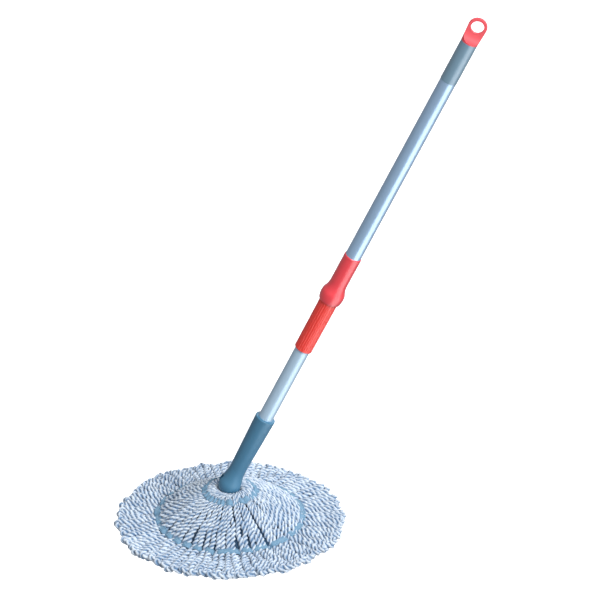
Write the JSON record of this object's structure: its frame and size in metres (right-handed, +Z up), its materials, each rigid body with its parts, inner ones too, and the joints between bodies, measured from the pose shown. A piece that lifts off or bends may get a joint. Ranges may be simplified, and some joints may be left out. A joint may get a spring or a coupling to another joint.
{
  "type": "spin mop",
  "caption": "Telescopic hand-press spin mop: a tilting round yarn head on a leaning pole, with a twist-lock grip, a twisted drive rod inside and a hanging ring.",
  "frame": {"origin": "centre of the yarn head's flat underside, on the floor", "axes": "+Z up, +X towards the side that the pole leans to, +Y along the hanging hole and the tilt hinge"},
  "size_m": [0.5198, 0.332, 0.8022],
  "materials": {
    "red_plastic": "gloss",
    "grip_plastic": "satin",
    "blue_painted_steel": "gloss",
    "pale_painted_steel": "gloss",
    "dark_blue_plastic": "satin",
    "white_nylon": "satin",
    "grey_nylon": "satin",
    "bright_steel": "satin",
    "spring_steel": "satin",
    "yarn": "matte",
    "blue_tape": "matte",
    "clear_blue_plastic": "satin"
  },
  "bodies": {
    "upper_handle": {"hang_cap": "red_plastic", "end_grip": "grip_plastic", "upper_tube": "blue_painted_steel", "rod_anchor": "white_nylon", "anchor_pin": "bright_steel", "twisted_rod": "bright_steel", "rod_stop": "bright_steel", "grip_collar": "red_plastic", "lock_core": "grey_nylon", "lock_shoes": "grey_nylon"},
    "lock_grip": {"lock_grip": "red_plastic"},
    "glide": {"glide_bush": "white_nylon"},
    "lower_pole": {"bush_clip": "spring_steel", "clutch_housing": "white_nylon", "housing_cap": "white_nylon", "ratchet_ring": "bright_steel", "drive_nut": "bright_steel", "clutch_spring": "spring_steel", "lower_tube": "pale_painted_steel", "socket_sleeve": "dark_blue_plastic", "sleeve_screw": "bright_steel", "hinge_pin": "bright_steel"},
    "mop_head": {"head_knuckle": "dark_blue_plastic", "knuckle_screws": "bright_steel", "head_plate": "clear_blue_plastic", "refill_ring": "clear_blue_plastic", "upper_yarn": "yarn", "lower_yarn": "yarn", "inner_tape": "blue_tape", "outer_tape": "blue_tape"}
  },
  "joints": [
    {"name": "lock_turn", "type": "hinge", "parent": "upper_handle", "child": "lock_grip", "pos_m": [0.12348, 0, 0.3274], "axis": [0.4258, 0, 0.9048], "range_deg": [0, 90]},
    {"name": "handle_press", "type": "slide", "parent": "upper_handle", "child": "glide", "axis": [0.4258, 0, 0.9048], "range_m": [-0.24, 0.12]},
    {"name": "pole_spin", "type": "hinge", "parent": "glide", "child": "lower_pole", "pos_m": [0.17031, 0, 0.42693], "axis": [0.4258, 0, 0.9048], "range_deg": [-720.5, 360.5]},
    {"name": "head_tilt", "type": "hinge", "parent": "lower_pole", "child": "mop_head", "pos_m": [0, 0, 0.065], "axis": [0, 1, 0], "range_deg": [-34.8, 85.2]}
  ],
  "couplings": [
    {"joint": "pole_spin", "follows": "handle_press", "rad_per_m": 52.36}
  ]
}
